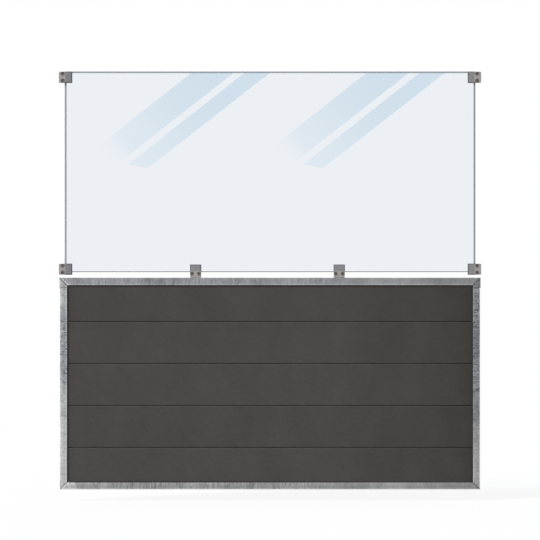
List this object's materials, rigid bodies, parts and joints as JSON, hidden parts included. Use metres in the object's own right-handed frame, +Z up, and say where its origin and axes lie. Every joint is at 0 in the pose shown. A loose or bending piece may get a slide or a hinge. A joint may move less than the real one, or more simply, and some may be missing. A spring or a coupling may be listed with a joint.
{
  "type": "fence panel",
  "caption": "Fence panel of horizontal composite boards in a galvanised steel frame, with a clear glass pane clamped above the boards.",
  "frame": {"origin": "bottom of the flat outer face of the left stile, which is screwed to the left post, halfway through the panel's depth", "axes": "+X across the panel from the left post to the right post, +Z up, -Y towards the front, where the clamps' screws show"},
  "size_m": [1.81, 0.03, 1.792],
  "materials": {
    "galvanised": "satin",
    "composite": "matte",
    "pane": "polished",
    "casting": "matte",
    "rubber": "matte",
    "screw": "satin",
    "foot_screw": "satin"
  },
  "bodies": {
    "root": {"top_rail": "galvanised", "bottom_rail": "galvanised", "left_stile": "galvanised", "right_stile": "galvanised", "left_corner_leg": "galvanised", "right_corner_leg": "galvanised", "board_1": "composite", "board_2": "composite", "board_3": "composite", "board_4": "composite", "board_5": "composite", "board_seal": "rubber", "glass_pane": "pane", "left_top_back_jaw": "casting", "left_top_front_jaw": "casting", "left_top_gasket": "rubber", "left_top_screw_1": "screw", "left_top_screw_2": "screw", "left_bottom_back_jaw": "casting", "left_bottom_front_jaw": "casting", "left_bottom_gasket": "rubber", "left_bottom_screw_1": "screw", "left_bottom_screw_2": "screw", "right_top_back_jaw": "casting", "right_top_front_jaw": "casting", "right_top_gasket": "rubber", "right_top_screw_1": "screw", "right_top_screw_2": "screw", "right_bottom_back_jaw": "casting", "right_bottom_front_jaw": "casting", "right_bottom_gasket": "rubber", "right_bottom_screw_1": "screw", "right_bottom_screw_2": "screw", "rail_left_back_jaw": "casting", "rail_left_front_jaw": "casting", "rail_left_gasket": "rubber", "rail_left_screw_1": "screw", "rail_left_screw_2": "screw", "rail_left_foot_screw": "foot_screw", "rail_right_back_jaw": "casting", "rail_right_front_jaw": "casting", "rail_right_gasket": "rubber", "rail_right_screw_1": "screw", "rail_right_screw_2": "screw", "rail_right_foot_screw": "foot_screw"}
  },
  "joints": []
}
